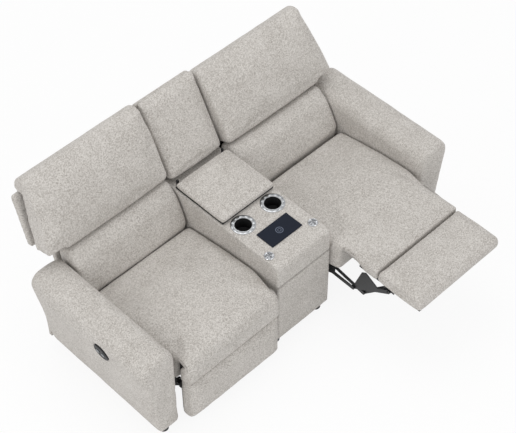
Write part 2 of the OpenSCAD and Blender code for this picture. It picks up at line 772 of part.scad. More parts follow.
// Board behind both footrest cushions, with the brackets that the links hold
module footrest_frame(side) {
    a = pad_t - hinge_in;
    color(steel_black) at_footrest(side) {
        translate([-foot_w / 2 + 18, a, -pad_end + board_inset])
            cube([foot_w - 36, board_t, pad_end - board_inset - 30]);
        both_sides() {
            plate(bracket_x, plate_t) union() {
                translate([a + board_t, rear_eye[1] - 30]) square([rear_eye[0] - a - board_t, 62]);
                translate(rear_eye) circle(r = eye_lug - 3);
                translate(front_eye) circle(r = eye_lug - 3);
                translate([front_eye[0] - 4, rear_eye[1]]) square([15, front_eye[1] - rear_eye[1]]);
            }
            bar_x(bracket_x + plate_t, plate_t - pin_gap, rivet_r, rear_eye);
            bar_x(front_reach_x + plate_t + pin_gap, plate_t - pin_gap, rivet_r, front_eye);
        }
    }
}

// Lift links turn on the side plates, and the reaches join them to the footrest
function link_end(p, l, a0, whole, o) = p + l * [cos(a0 + whole * o), sin(a0 + whole * o)];
function rear_elbow(o) = link_end(rear_pivot, rear_link_l, rear_link_a0, rear_link_turn, o);
function front_elbow(o) = link_end(front_pivot, front_link_l, front_link_a0, front_link_turn, o);
function rear_eye_end(o) = link_end(rear_elbow(o), rear_reach_l, rear_reach_a0, rear_reach_turn, o);
function front_eye_end(o) = link_end(front_elbow(o), front_reach_l, front_reach_a0, front_reach_turn, o);

module rear_lift_links(side) {
    o = out(side);
    color(steel_black) at_seat(side) both_sides() {
        plate(rear_link_x, plate_t) link_2d(rear_pivot, rear_elbow(o), link_w, rivet_r + rivet_gap, 1);
        rivet(rear_link_x, rear_elbow(o), 1);
    }
}
gusset_l = 150;
module reach_plates(side) {
    o = out(side);
    p = rear_elbow(o);
    q = rear_eye_end(o);
    u = (q - p) / norm(q - p);
    tip = p + turn(u, -38) * gusset_l;
    color(steel_black) at_seat(side) both_sides() plate(rear_reach_x, plate_t) difference() {
        union() {
            link_2d(p, q, link_w, rivet_r + rivet_gap);
            polygon([p + turn(u, -90) * link_w / 4, p + u * 190, tip + u * 30, tip]);
        }
        translate(p) circle(r = rivet_r + rivet_gap);
    }
}
module front_lift_links(side) {
    o = out(side);
    color(steel_black) at_seat(side) both_sides() {
        plate(bracket_x, plate_t) link_2d(front_pivot, front_elbow(o), link_w, rivet_r + rivet_gap, 1);
        rivet(bracket_x, front_elbow(o), 1);
    }
}
module reach_links(side) {
    o = out(side);
    color(steel_black) at_seat(side) both_sides()
        plate(front_reach_x, plate_t)
        link_2d(front_elbow(o), front_eye_end(o), link_w, rivet_r + rivet_gap);
}

// Back

pivot_r = 8;
frame_front = 86;
frame_rear = 116;
frame_top_v = 650;
frame_tube = 30;
frame_bar_v = 310;
leg_x = side_x - plate_t - 1;
// Steel back frame with its legs on the recline pivots
module back_frame(side) {
    w = 2 * leg_x;
    color(steel_black) at_back(side) {
        difference() {
            translate([-leg_x, frame_front, -20]) cube([w, frame_tube, frame_top_v + 20]);
            translate([-leg_x + frame_tube, frame_front - 1, 10])
                cube([w - 2 * frame_tube, frame_tube + 2, frame_bar_v - 10]);
            translate([-leg_x + frame_tube, frame_front - 1, frame_bar_v + frame_tube])
                cube([w - 2 * frame_tube, frame_tube + 2, frame_top_v - frame_bar_v - 2 * frame_tube]);
        }
        both_sides() {
            plate(leg_x, plate_t) union() {
                translate([0, -18]) square([frame_rear, 36]);
                circle(r = 18);
            }
            bar_x(leg_x + plate_t, side_x + plate_t - leg_x - plate_t + 2, pivot_r, [0, 0]);
        }
    }
}

// Front of the back cushions at a height along the back
front_low = 81;
function front_at(v) = -back_front + back_taper * (v - front_low);
back_bulge = 9;
lumbar_bottom = 96;
lumbar_top = crease_v - 3;
// Tail of the lumbar cushion, tucked down behind the seat cushion
tuck = -50;
tuck_low = 48;
tuck_t = 32;
lumbar_outline = concat(
    [[frame_front - face_gap, lumbar_bottom + 30], [frame_front - face_gap, lumbar_top - 30],
        [frame_front - 20, lumbar_top]],
    arc([front_at(lumbar_top) + 32, lumbar_top - 26], 26, 90, 180, 4),
    [for (t = [0.15, 0.35, 0.55, 0.75, 0.9]) let (v = lumbar_top - 26 + (lumbar_bottom + 26 - lumbar_top) * t)
        [front_at(v) - back_bulge * sin(180 * t), v]],
    [[front_at(lumbar_bottom) + 1, lumbar_bottom + 2], [tuck - 14, lumbar_bottom - 8],
        [tuck - 6, lumbar_bottom - 18], [tuck, tuck_low + 10], [tuck + 10, tuck_low],
        [tuck + tuck_t - 8, tuck_low], [tuck + tuck_t, tuck_low + 10],
        [tuck + tuck_t + 4, lumbar_bottom - 10], [8, lumbar_bottom], [50, lumbar_bottom + 2]]);
module lumbar_cushion(side) {
    color(fabric) at_back(side) scale_side(side)
        soft(lumbar_outline, stations(-half_seat, half_seat, 24), 8, [-1, 0]);
}
head_bottom = crease_v + 2;
head_r = 38;
// The head cushion reaches over the top of the frame and of the rear panel
hood_v = frame_top_v + 11;
hood_rear = back_rear - 2;
head_outline = concat(
    [[frame_front - face_gap, head_bottom + 16], [frame_front - face_gap, hood_v],
        [hood_rear - 4, hood_v + 2], [hood_rear, hood_v + 12], [hood_rear - 2, back_top - 34],
        [hood_rear - 12, back_top - 14], [hood_rear - 34, back_top - 3], [hood_rear - 56, back_top]],
    arc([front_at(back_top) + head_r + 4, back_top - head_r], head_r, 90, 180, 5),
    [for (t = [0.25, 0.5, 0.75]) let (v = back_top - head_r + (head_bottom + 34 + head_r - back_top) * t)
        [front_at(v) - back_bulge * sin(180 * t), v]],
    arc([front_at(head_bottom) + 36, head_bottom + 30], 30, 180, 270, 4),
    [[40, head_bottom + 1], [60, head_bottom]]);
module head_cushion(side) {
    color(fabric) at_back(side) scale_side(side)
        soft(head_outline, wing_stations(16), 8, [-1, 0]);
}
module back_panel(side) {
    color(fabric) at_back(side) scale_side(side) {
        plate(-half_seat, 2 * half_seat) panel_2d(frame_rear + 1, back_rear, panel_bottom, frame_top_v);
        plate(half_seat - 1, wing + soft_gap + 1) panel_2d(frame_rear + 1, back_rear, wing_v, frame_top_v);
    }
}

// Power drive under the seat: a motor with a screw tube, and the nut that runs along it

drive_z = seat_base_h - 90;
drive_front = 180;
drive_rear = motor_bar[0] + motor_bar_r + face_gap;
drive_r = 9;
nut_travel = 110;
nut_w = 44;
nut_h = 36;
nut_l = 40;
nut_rear = drive_rear - nut_l - 2;
module actuator(side) {
    color(plastic_black) at_seat(side) {
        translate([0, drive_front, drive_z]) rotate([-90, 0, 0])
            cylinder(r = drive_r, h = drive_rear - drive_front + 1);
        translate([-26, drive_rear, drive_z - 70]) cube([52, 60, motor_bar[1] + 6 - drive_z + 70]);
        translate([0, drive_rear + 30, drive_z - 110]) cylinder(r = 24, h = 60);
    }
}
module actuator_nut(side) {
    y = nut_rear - nut_travel * out(side);
    color(zinc) at_seat(side) translate([0, y - nut_l / 2, drive_z]) rotate([-90, 0, 0]) difference() {
        translate([-nut_w / 2, -nut_h / 2, 0]) cube([nut_w, nut_h, nut_l]);
        translate([0, 0, -1]) cylinder(r = drive_r + rivet_gap, h = nut_l + 2);
    }
}

module left_seat_cushion() seat_cushion(LEFT);
module left_seat_deck() seat_deck(LEFT);
module left_side_plates() side_plates(LEFT);
module left_front_swing_links() swing_links(LEFT, swing_front_y);
module left_rear_swing_links() swing_links(LEFT, swing_rear_y);
module left_flap_cushion() flap_cushion(LEFT);
module left_footrest_cushion() footrest_cushion(LEFT);
module left_footrest_frame() footrest_frame(LEFT);
module left_rear_lift_links() rear_lift_links(LEFT);
module left_reach_plates() reach_plates(LEFT);
module left_front_lift_links() front_lift_links(LEFT);
module left_reach_links() reach_links(LEFT);
module left_back_frame() back_frame(LEFT);
module left_lumbar_cushion() lumbar_cushion(LEFT);
module left_head_cushion() head_cushion(LEFT);
module left_back_panel() back_panel(LEFT);
module left_actuator() actuator(LEFT);
module left_actuator_nut() actuator_nut(LEFT);
module right_seat_cushion() seat_cushion(RIGHT);
module right_seat_deck() seat_deck(RIGHT);
module right_side_plates() side_plates(RIGHT);
module right_front_swing_links() swing_links(RIGHT, swing_front_y);
module right_rear_swing_links() swing_links(RIGHT, swing_rear_y);
module right_flap_cushion() flap_cushion(RIGHT);
module right_footrest_cushion() footrest_cushion(RIGHT);
module right_footrest_frame() footrest_frame(RIGHT);
module right_rear_lift_links() rear_lift_links(RIGHT);
module right_reach_plates() reach_plates(RIGHT);
module right_front_lift_links() front_lift_links(RIGHT);
module right_reach_links() reach_links(RIGHT);
module right_back_frame() back_frame(RIGHT);
module right_lumbar_cushion() lumbar_cushion(RIGHT);
module right_head_cushion() head_cushion(RIGHT);
module right_back_panel() back_panel(RIGHT);
module right_actuator() actuator(RIGHT);
module right_actuator_nut() actuator_nut(RIGHT);

placed() left_arm_cover();
placed() right_arm_cover();
placed() arm_frames();
placed() console_cover();
placed() storage_bin();
placed() lid_hinge_brackets();
placed() cup_holders();
placed() charging_pad_frame();
placed() charging_pad();
placed() accessory_caps();
placed() middle_back_cushion();
placed() middle_back_panel();
placed() rear_rail();
placed() cross_tubes();
placed() feet();
placed() mechanism_rails();
placed() switch_bezels();
placed() power_inlet();
placed() lid_board();
placed() lid_cushion();
placed() left_open_button();
placed() left_close_button();
placed() right_open_button();
placed() right_close_button();
placed() left_seat_cushion();
placed() left_seat_deck();
placed() left_side_plates();
placed() left_front_swing_links();
placed() left_rear_swing_links();
placed() left_flap_cushion();
placed() left_footrest_cushion();
placed() left_footrest_frame();
placed() left_rear_lift_links();
placed() left_reach_plates();
placed() left_front_lift_links();
placed() left_reach_links();
placed() left_back_frame();
placed() left_lumbar_cushion();
placed() left_head_cushion();
placed() left_back_panel();
placed() left_actuator();
placed() left_actuator_nut();
placed() right_seat_cushion();
placed() right_seat_deck();
placed() right_side_plates();
placed() right_front_swing_links();
placed() right_rear_swing_links();
placed() right_flap_cushion();
placed() right_footrest_cushion();
placed() right_footrest_frame();
placed() right_rear_lift_links();
placed() right_reach_plates();
placed() right_front_lift_links();
placed() right_reach_links();
placed() right_back_frame();
placed() right_lumbar_cushion();
placed() right_head_cushion();
placed() right_back_panel();
placed() right_actuator();
placed() right_actuator_nut();
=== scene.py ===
"""Reclining loveseat with a storage console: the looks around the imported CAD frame."""
import json
import math

import bpy
import numpy as np
from mathutils import Matrix, Vector, noise
from mathutils.bvhtree import BVHTree


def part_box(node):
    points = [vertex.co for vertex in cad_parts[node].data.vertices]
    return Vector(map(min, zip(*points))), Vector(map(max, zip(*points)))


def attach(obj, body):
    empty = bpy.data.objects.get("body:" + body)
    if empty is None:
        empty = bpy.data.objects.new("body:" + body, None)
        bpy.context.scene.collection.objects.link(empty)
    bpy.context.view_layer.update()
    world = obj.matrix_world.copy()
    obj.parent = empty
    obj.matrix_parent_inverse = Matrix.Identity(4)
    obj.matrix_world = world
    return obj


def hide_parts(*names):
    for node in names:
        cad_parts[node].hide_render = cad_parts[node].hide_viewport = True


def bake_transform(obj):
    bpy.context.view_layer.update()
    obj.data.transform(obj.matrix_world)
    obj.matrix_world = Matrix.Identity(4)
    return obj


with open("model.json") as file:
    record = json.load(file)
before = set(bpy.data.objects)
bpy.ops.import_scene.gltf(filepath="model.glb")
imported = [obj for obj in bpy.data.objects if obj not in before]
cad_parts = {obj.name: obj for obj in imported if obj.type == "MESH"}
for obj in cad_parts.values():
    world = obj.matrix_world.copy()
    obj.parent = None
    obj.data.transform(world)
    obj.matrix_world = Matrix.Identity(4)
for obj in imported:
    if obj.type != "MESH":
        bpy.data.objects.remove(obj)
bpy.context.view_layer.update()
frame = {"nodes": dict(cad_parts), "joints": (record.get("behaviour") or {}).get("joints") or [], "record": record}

bl_info = {
    "name": "Reclining loveseat",
    "version": (1, 0, 0),
    "blender": (4, 5, 0),
    "location": "3D View > Sidebar > Loveseat",
    "description": "Upholstery, metalwork and studio of a two-seat power recliner",
    "category": "Add Mesh",
}

MM = 0.001
SIDES = ("left", "right")
SIGN = {"left": -1, "right": 1}
NODES = frame["nodes"]
JOINTS = {j["name"]: j for j in frame["joints"]}
CLOTH, FABRIC = "chenille_woven_heather", "woven_fabric"

# Upper footrest cushion, measured from the hinge line
FLAP_LENGTH = 146 * MM
FLAP_DEPTH = 62 * MM
FLAP_ROOT = 72 * MM
# Tongue of its cover that reaches over the seat: where it thins, to what share, and how far it reaches
TONGUE_ROOT = 10 * MM
TONGUE_SHARE = 0.32
TONGUE_REACH = 58 * MM
# Height of the cover over the hinge line, and the radius in which it folds round a closed seat
SKIN = 8 * MM
FOLD = 52 * MM
# Where the cover comes to lie on the seat, measured behind the hinge line
LAP = (-60 * MM, 12 * MM)
# Width and fall of a cushion's rounded side
EDGE = 42 * MM
DROP = 17 * MM
# Height of the seam across the console's front
CONSOLE_SEAM = 448 * MM
# Space that a filled cover takes towards a neighbour
CLEAR = 1 * MM
# The most that the filling moves a point of a cover
TRAVEL = {"seat": 26 * MM, "flap": 16 * MM, "pad": 20 * MM, "arm": 14 * MM, "lid": 12 * MM}
# Depth and size of the slow relief of padded cloth
RELIEF = {"seat": (1.1 * MM, 110 * MM), "back": (1.3 * MM, 130 * MM), "shell": (0.8 * MM, 200 * MM),
          "arm": (1.2 * MM, 120 * MM), "console": (0.8 * MM, 150 * MM), "lid": (0.9 * MM, 110 * MM)}
# Upholstery cloth under air pressure, light and fairly stiff
CLOTH_SETTINGS = {"quality": 4, "mass": 0.35, "air_damping": 2, "tension_stiffness": 18,
                  "compression_stiffness": 18, "shear_stiffness": 7, "bending_stiffness": 1.5,
                  "use_pressure": True, "uniform_pressure_force": 4}
# The photograph's viewpoint: place in metres, then azimuth, elevation and roll in degrees
CAMERA_PLACE = (-3.1127, -3.157, 5.709)
CAMERA_ANGLES = (43.844, 48.85, -0.754)
CAMERA_LENS = 104


def srgb(code):
    """A hex colour as linear values."""
    parts = [int(code[i:i + 2], 16) / 255 for i in (1, 3, 5)]
    return tuple(c / 12.92 if c <= 0.04045 else ((c + 0.055) / 1.055) ** 2.4 for c in parts)


# Settings

class LoveseatSizes(bpy.types.PropertyGroup):
    coarse: bpy.props.FloatProperty(
        name="Cloth grid", description="Spacing of the grid that the filling pushes out",
        default=0.010, min=0.004, max=0.02, unit="LENGTH")
    seat_swell: bpy.props.FloatProperty(
        name="Seat swell", description="How far a seat's top may rise over its foam",
        default=0.018, min=0, max=0.03, unit="LENGTH")
    back_swell: bpy.props.FloatProperty(
        name="Back swell", description="How far a back cushion may puff out to the front",
        default=0.022, min=0, max=0.03, unit="LENGTH")
    arm_swell: bpy.props.FloatProperty(
        name="Arm swell", description="How far an arm's padding may puff out",
        default=0.009, min=0, max=0.02, unit="LENGTH")
    pad_swell: bpy.props.FloatProperty(
        name="Footrest swell", description="How far a footrest cushion may puff out",
        default=0.014, min=0, max=0.03, unit="LENGTH")
    seam_width: bpy.props.FloatProperty(
        name="Seam width", description="Width of the channel along a sewn seam",
        default=0.007, min=0.002, max=0.02, unit="LENGTH")
    seam_depth: bpy.props.FloatProperty(
        name="Seam depth", description="Depth of the channel along a sewn seam",
        default=0.005, min=0, max=0.01, unit="LENGTH")
    nub: bpy.props.FloatProperty(
        name="Yarn nub", description="Size of a nub of the chenille yarn as drawn",
        default=0.0034, min=0.001, max=0.01, unit="LENGTH")


class LoveseatColours(bpy.types.PropertyGroup):
    yarn_light: bpy.props.FloatVectorProperty(
        name="Light yarn", description="Pale strands of the upholstery", subtype="COLOR",
        size=3, default=srgb("#D4D0CB"))
    yarn_dark: bpy.props.FloatVectorProperty(
        name="Dark yarn", description="Grey-brown strands of the upholstery", subtype="COLOR",
        size=3, default=srgb("#9B958E"))
    floor: bpy.props.FloatVectorProperty(
        name="Floor", description="Studio floor", subtype="COLOR", size=3,
        default=srgb("#F4F4F4"))


# Modelling helpers

def choose(ob):
    """Leaves this object alone selected and active."""
    if bpy.context.object and bpy.context.object.mode != "OBJECT":
        bpy.ops.object.mode_set(mode="OBJECT")
    bpy.ops.object.select_all(action="DESELECT")
    ob.select_set(True)
    bpy.context.view_layer.objects.active = ob


def points(ob):
    """All vertices of a piece as one array."""
    co = np.empty(len(ob.data.vertices) * 3)
    ob.data.vertices.foreach_get("co", co)
    return co.reshape(-1, 3)


def set_points(ob, co):
    """Moves all vertices of a piece."""
    ob.data.vertices.foreach_set("co", co.reshape(-1))
    ob.data.update()


def normals(ob):
    """The outward direction at each vertex."""
    no = np.empty(len(ob.data.vertices) * 3)
    ob.data.vertex_normals.foreach_get("vector", no)
    return no.reshape(-1, 3)


def cad_copy(node, name):
    """A closed copy of a CAD node's mesh, as a new piece."""
    mesh = NODES[node].data.copy()
    mesh.materials.clear()
    ob = bpy.data.objects.new(name, mesh)
    bpy.context.scene.collection.objects.link(ob)
    choose(ob)
    bpy.ops.object.mode_set(mode="EDIT")
    bpy.ops.mesh.select_all(action="SELECT")
    bpy.ops.mesh.remove_doubles(threshold=1e-5)
    bpy.ops.object.mode_set(mode="OBJECT")
    return ob


def apply(ob, kind, **settings):
    """Adds one modifier, sets it and applies it."""
    modifier = ob.modifiers.new(kind.title(), kind)
    for key, value in settings.items():
        setattr(modifier, key, value)
    choose(ob)
    bpy.ops.object.modifier_apply(modifier=modifier.name)


def regrid(ob, size, smooth=4):
    """Even grid over the whole form, with its hard edges eased."""
    apply(ob, "REMESH", mode="VOXEL", voxel_size=size, adaptivity=0)
    apply(ob, "SMOOTH", factor=0.5, iterations=smooth)


def ramp(value, low, high):
    """0 below low, 1 above high, smooth between."""
    t = np.clip((value - low) / (high - low), 0, 1)
    return t * t * (3 - 2 * t)


def leeway(sides=CLEAR, front=CLEAR, rear=CLEAR, below=CLEAR, above=CLEAR):
    """How far the filling may push a cover each way; sides may be a pair, left and right."""
    left, right = sides if isinstance(sides, tuple) else (sides, sides)
    return left, right, front, rear, below, above


def puff(pieces, frames=20):
    """Fills closed forms with air for a short while, all together.

    Each entry is (piece, cap, room, held): the most that a point may move, its leeway
    along -X, +X, -Y, +Y, -Z and +Z, and a function that gives the share of each point
    that stays where it is.
    """
    levels = 10
    for ob, _, _, held in pieces:
        group = ob.vertex_groups.new(name="held")
        share = np.clip(held(points(ob), normals(ob)), 0, 1)
        for level in range(1, levels + 1):
            found = np.nonzero(np.round(share * levels) == level)[0]
            if len(found):
                group.add(found.tolist(), level / levels, "REPLACE")
    before = {ob.name: points(ob) for ob, *_ in pieces}
    for ob, *_ in pieces:
        cloth = ob.modifiers.new("Cloth", "CLOTH")
        for key, value in CLOTH_SETTINGS.items():
            setattr(cloth.settings, key, value)
        cloth.settings.vertex_group_mass = "held"
        cloth.settings.effector_weights.gravity = 0
        cloth.collision_settings.use_collision = False
        cloth.point_cache.frame_start = 1
        cloth.point_cache.frame_end = frames
    for step in range(1, frames + 1):
        bpy.context.scene.frame_set(step)
    for ob, *_ in pieces:
        choose(ob)
        bpy.ops.object.modifier_apply(modifier="Cloth")
    bpy.context.scene.frame_set(1)
    for ob, cap, room, held in pieces:
        start = before[ob.name]
        move = points(ob) - start
        length = np.linalg.norm(move, axis=1, keepdims=True)
        move *= np.tanh(length / cap) * cap / np.maximum(length, 1e-9)
        for k in range(3):
            low, high = room[2 * k], room[2 * k + 1]
            move[:, k] = np.where(move[:, k] < 0, np.maximum(move[:, k], -low),
                                  np.minimum(move[:, k], high))
        set_points(ob, start + move)
        ob.vertex_groups.clear()


def ease(ob):
    """Last smoothing of a soft piece."""
    apply(ob, "SMOOTH", factor=0.5, iterations=2)
    apply(ob, "SUBSURF", levels=1, render_levels=1)
    ob.data.shade_smooth()


def crumple(ob, depth, size, seed):
    """Slow uneven relief of padded cloth."""
    co, no = points(ob), normals(ob)
    shift = Vector((seed * 3.1, seed * 1.7, seed * 0.9))
    amount = np.array([noise.noise(Vector(p) / size + shift)
                       + 0.5 * noise.noise(Vector(p) * 2.3 / size + shift) for p in co])
    set_points(ob, co + no * (amount * depth)[:, None])


def darken(ob, share):
    """Paints darkness into a surface's colour, kept in one attribute: painted shade along a seam's channel, and
    painted dark reflections on polished metal.
    """
    mark = ob.data.attributes.get("painted_darkness") or ob.data.attributes.new("painted_darkness", "FLOAT", "POINT")
    old = np.zeros(len(ob.data.vertices), np.float32)
    mark.data.foreach_get("value", old)
    mark.data.foreach_set("value", np.maximum(old, share).astype(np.float32))


def painted_darkness(ob, distance):
    """Presses a channel where the distance is zero, and paints shade along its bottom, in a strip narrower than
    the channel.
    """
    sizes = bpy.context.scene.loveseat_sizes
    co = points(ob)
    away = np.abs(distance(co)) / sizes.seam_width
    set_points(ob, co - normals(ob) * (np.exp(-away ** 2) * sizes.seam_depth)[:, None])
    darken(ob, np.exp(-(away / 0.6) ** 2))


def shoulder(ob, edges, reach, drop, share=1.0):
    """Lets a cushion fall away towards edges: (axis, place, 1 for a high and -1 for a low edge)."""
    co = points(ob)
    floor, top = co[:, 2].min(), co[:, 2].max()
    fall = np.zeros(len(co))
    for axis, place, side in edges:
        t = np.clip(1 - side * (place - co[:, axis]) / reach, 0, 1)
        fall = np.maximum(fall, 1 - np.sqrt(1 - t * t))
    co[:, 2] -= (co[:, 2] - floor) / (top - floor) * fall * drop * share
    set_points(ob, co)


def finish(ob, body, material, slot, *replaced, fill=None):
    """Dresses a piece, hangs it on the body it rides on and hides the CAD nodes it stands for; fill is not used.
    """
    ob.data.materials.clear()
    ob.data.materials.append(bpy.data.materials[material])
    if body:
        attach(ob, body)
    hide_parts(*replaced)


def crisp(ob, degrees=35):
    """Smooth shading, but for edges that turn by more than the angle."""
    ob.data.shade_smooth()
    choose(ob)
    bpy.ops.object.shade_smooth_by_angle(angle=math.radians(degrees))


def spun(name, profile, centre, steps):
    """A profile of (radius, height) turned about a vertical axis."""
    mesh = bpy.data.meshes.new(name)
    mesh.from_pydata([(r, 0, z) for r, z in profile], [(i, i + 1) for i in range(len(profile) - 1)], [])
    ob = bpy.data.objects.new(name, mesh)
    bpy.context.scene.collection.objects.link(ob)
    choose(ob)
    bpy.ops.object.mode_set(mode="EDIT")
    bpy.ops.mesh.select_mode(type="VERT")
    bpy.ops.mesh.select_all(action="SELECT")
    bpy.ops.mesh.spin(steps=steps, angle=2 * math.pi, center=(0, 0, 0), axis=(0, 0, 1))
    bpy.ops.mesh.select_all(action="SELECT")
    bpy.ops.mesh.remove_doubles(threshold=1e-5)
    bpy.ops.mesh.normals_make_consistent(inside=False)
    bpy.ops.object.mode_set(mode="OBJECT")
    ob.data.transform(Matrix.Translation(centre))
    crisp(ob)
    return ob


def hinge_of(side):
    """The middle of the line about which a footrest turns."""
    return Vector(JOINTS[f"{side}_footrest_turn"]["pos_m"])


def is_out(side):
    """True where the footrest stands out at rest."""
    low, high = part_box(f"{side}_footrest_cushion")
    return (high.y - low.y) > (high.z - low.z)


# Materials

def add(tree, kind, values=None):
    """Adds a node with its settings; a key that is one of its inputs is set or linked."""
    node = tree.nodes.new("ShaderNode" + kind)
    for key, value in (values or {}).items():
        if isinstance(key, str) and hasattr(node, key):
            setattr(node, key, value)
        elif isinstance(value, bpy.types.NodeSocket):
            tree.links.new(value, node.inputs[key])
        else:
            node.inputs[key].default_value = value
    return node


def blank(name):
    """A new material: its nodes, its shader and the place on the piece."""
    material = bpy.data.materials.new(name)
    material.use_nodes = True
    tree = material.node_tree
    shader = tree.nodes["Principled BSDF"]
    place = add(tree, "TexCoord").outputs["Object"]
    return tree, shader, place


def link_bump(tree, shader, height, strength, distance):
    """Adds a fine relief to a finish."""
    bump = add(tree, "Bump", {"Strength": strength, "Distance": distance, "Height": height})
    tree.links.new(bump.outputs["Normal"], shader.inputs["Normal"])


def chenille():
    """Woven chenille, brushed: short fuzzy nubs of pale and grey-brown yarn, no gloss."""
    sizes, colours = bpy.context.scene.loveseat_sizes, bpy.context.scene.loveseat_colours
    tree, shader, place = blank(CLOTH)
    # Real nubs measure 1 to 2 mm and wouldn't show from here, so they are drawn coarser
    nub = 1 / sizes.nub
    cells = add(tree, "TexVoronoi", {"Vector": place, "Scale": nub, "Randomness": 1.0})
    heather = add(tree, "TexNoise", {"Vector": place, "Scale": nub * 0.55, "Detail": 3.0,
                                     "Roughness": 0.75})
    # Slow clouds about 11 cm across, where the pile lies another way
    cloud = add(tree, "TexNoise", {"Vector": place, "Scale": 9.0, "Detail": 2.0})
    # Shares of the single nubs and of the clouds in the shade, and how dark the painted shade in a seam's channel
    # gets
    nub_share, cloud_share, seam_shade_share = 0.42, 0.22, 0.72
    grey = add(tree, "SeparateColor", {"Color": cells.outputs["Color"]})
    yarn = add(tree, "Math", {"operation": "MULTIPLY_ADD", 0: grey.outputs["Red"], 1: nub_share,
                              2: heather.outputs["Fac"]})
    shade = add(tree, "Math", {"operation": "MULTIPLY_ADD", 0: cloud.outputs["Fac"], 1: cloud_share,
                               2: yarn.outputs["Value"]})
    mix = add(tree, "ValToRGB", {"Fac": shade.outputs["Value"]})
    mix.color_ramp.elements[0].position = 0.50
    mix.color_ramp.elements[0].color = (*colours.yarn_dark, 1)
    mix.color_ramp.elements[1].position = 1.0
    mix.color_ramp.elements[1].color = (*colours.yarn_light, 1)
    # Painted shade: the cloth is drawn darker along a seam's channel
    mark = add(tree, "Attribute", {"attribute_name": "painted_darkness"})
    share = add(tree, "Math", {"operation": "MULTIPLY", 0: mark.outputs["Fac"],
                              1: seam_shade_share})
    dark = add(tree, "Mix", {"data_type": "RGBA", "blend_type": "MULTIPLY",
                             0: share.outputs["Value"], 6: mix.outputs["Color"],
                             7: (*srgb("#5C544C"), 1)})
    tree.links.new(dark.outputs[2], shader.inputs["Base Color"])
    shader.inputs["Roughness"].default_value = 0.93
    shader.inputs["Specular IOR Level"].default_value = 0.2
    shader.inputs["Sheen Weight"].default_value = 0.12
    shader.inputs["Sheen Roughness"].default_value = 0.5
    relief = add(tree, "Math", {"operation": "SUBTRACT", 0: heather.outputs["Fac"],
                                1: cells.outputs["Distance"]})
    link_bump(tree, shader, relief.outputs["Value"], 0.55, 0.0016)


def simple_surface(name, colour, metallic, rough, grain, relief, spread=0.08, stretch=None):
    """A hard finish: colour and gloss vary a little with a grain of a real size."""
    tree, shader, place = blank(name)
    if stretch:
        place = add(tree, "Mapping", {"Vector": place, "Scale": stretch}).outputs["Vector"]
    fine = add(tree, "TexNoise", {"Vector": place, "Scale": 1 / grain, "Detail": 4.0})
    # Patches about 7 cm across, in which the colour is a little lighter or darker
    wide = add(tree, "TexNoise", {"Vector": place, "Scale": 14.0, "Detail": 3.0})
    tint = add(tree, "ValToRGB", {"Fac": wide.outputs["Fac"]})
    base = srgb(colour)
    tint.color_ramp.elements[0].position = 0.3
    tint.color_ramp.elements[0].color = (*[c * (1 - spread) for c in base], 1)
    tint.color_ramp.elements[1].position = 0.7
    tint.color_ramp.elements[1].color = (*[min(1, c * (1 + spread)) for c in base], 1)
    # Marked places turn nearly black: a painted dark reflection, as polished metal shows where it mirrors
    # something dark
    mark = add(tree, "Attribute", {"attribute_name": "painted_darkness"})
    dark = add(tree, "Mix", {"data_type": "RGBA", "blend_type": "MULTIPLY", 0: mark.outputs["Fac"],
                             6: tint.outputs["Color"], 7: (0.05, 0.05, 0.055, 1)})
    tree.links.new(dark.outputs[2], shader.inputs["Base Color"])
    worn = add(tree, "MapRange", {"Value": fine.outputs["Fac"], "To Min": rough * 0.8,
                                  "To Max": rough * 1.25})
    tree.links.new(worn.outputs["Result"], shader.inputs["Roughness"])
    shader.inputs["Metallic"].default_value = metallic
    link_bump(tree, shader, fine.outputs["Fac"], 0.3, relief)
    return shader


def plywood():
    """Birch plywood, sanded: long pale grain and thin glued layers."""
    tree, shader, place = blank("birch_plywood_sanded")
    # Grain about 6 mm wide and 8 cm long, and a pair of layers every 3 mm
    along = add(tree, "Mapping", {"Vector": place, "Scale": (1.0, 0.08, 1.0)})
    grain = add(tree, "TexNoise", {"Vector": along.outputs["Vector"], "Scale": 160.0, "Detail": 5.0})
    layers = add(tree, "TexWave", {"Vector": place, "Scale": 110.0, "Distortion": 0.6,
                                   "bands_direction": "Z"})
    both = add(tree, "Math", {"operation": "MULTIPLY_ADD", 0: layers.outputs["Fac"], 1: 0.25,
                              2: grain.outputs["Fac"]})
    tint = add(tree, "ValToRGB", {"Fac": both.outputs["Value"]})
    tint.color_ramp.elements[0].position = 0.35
    tint.color_ramp.elements[0].color = (*srgb("#A98A5F"), 1)
    tint.color_ramp.elements[1].position = 0.9
    tint.color_ramp.elements[1].color = (*srgb("#D8BE93"), 1)
    tree.links.new(tint.outputs["Color"], shader.inputs["Base Color"])
    shader.inputs["Roughness"].default_value = 0.62
    link_bump(tree, shader, grain.outputs["Fac"], 0.2, 0.0004)


